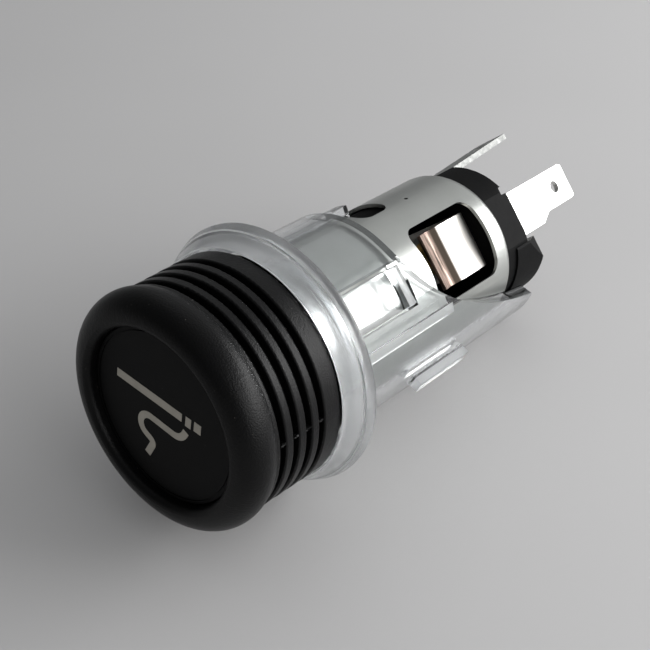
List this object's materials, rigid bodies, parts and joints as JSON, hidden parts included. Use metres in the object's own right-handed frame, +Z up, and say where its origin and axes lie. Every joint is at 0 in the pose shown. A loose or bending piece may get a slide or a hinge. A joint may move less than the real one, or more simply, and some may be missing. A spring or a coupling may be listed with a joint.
{
  "type": "car cigarette lighter",
  "caption": "Push-in car cigarette lighter plug in its drawn metal socket, with a clear light ring that snaps into a panel and blade terminals behind.",
  "frame": {"origin": "on the axis, in the plane of the light ring's flange back face that meets the panel", "axes": "+Y along the axis from the knob towards the terminals, +Z up as the part lies in the picture"},
  "size_m": [0.0342, 0.0832, 0.0342],
  "materials": {
    "clear_plastic": "clear moulded, glossy",
    "zinc_plated_steel": "drawn and zinc plated, satin",
    "black_insulation": "moulded, matt",
    "bimetal": "rolled strip, bright",
    "bright_steel": "plated, bright",
    "brass_rivet": "turned, bright",
    "tinned_blade": "tin plated, bright",
    "knob_plastic": "moulded, satin",
    "face_plastic": "moulded, matt, printed symbol",
    "spring_steel": "drawn, oiled",
    "mica": "split sheet",
    "ceramic": "fired, matt",
    "resistance_wire": "rolled ribbon, oxidised"
  },
  "bodies": {
    "socket": {"light_ring": "clear_plastic", "socket_can": "zinc_plated_steel", "clip_liner": "black_insulation", "bimetal_clip": "bimetal", "rivet_washer": "bright_steel", "terminal_rivet": "brass_rivet", "rear_insulator": "black_insulation", "centre_terminal": "tinned_blade", "ground_terminal": "tinned_blade"},
    "plug_barrel": {"plug_barrel": "bright_steel", "spring_seat": "bright_steel"},
    "knob": {"knob": "knob_plastic", "face_disc": "face_plastic", "stem_nut": "spring_steel", "stem": "bright_steel", "stop_collar": "bright_steel", "guide_washer": "bright_steel", "return_spring": "spring_steel", "cup_insulator": "mica", "element_cup": "bright_steel", "coil_backing": "ceramic", "coil_post": "bright_steel", "heating_coil": "resistance_wire"}
  },
  "joints": [
    {"name": "plug_pull", "type": "slide", "parent": "socket", "child": "plug_barrel", "axis": [0, -1, 0], "range_m": [0, 0.045]},
    {"name": "knob_press", "type": "slide", "parent": "plug_barrel", "child": "knob", "axis": [0, 1, 0], "range_m": [0, 0.003], "stiffness_N_per_m": 800, "springref_m": -0.006, "deforming": ["return_spring"]}
  ]
}
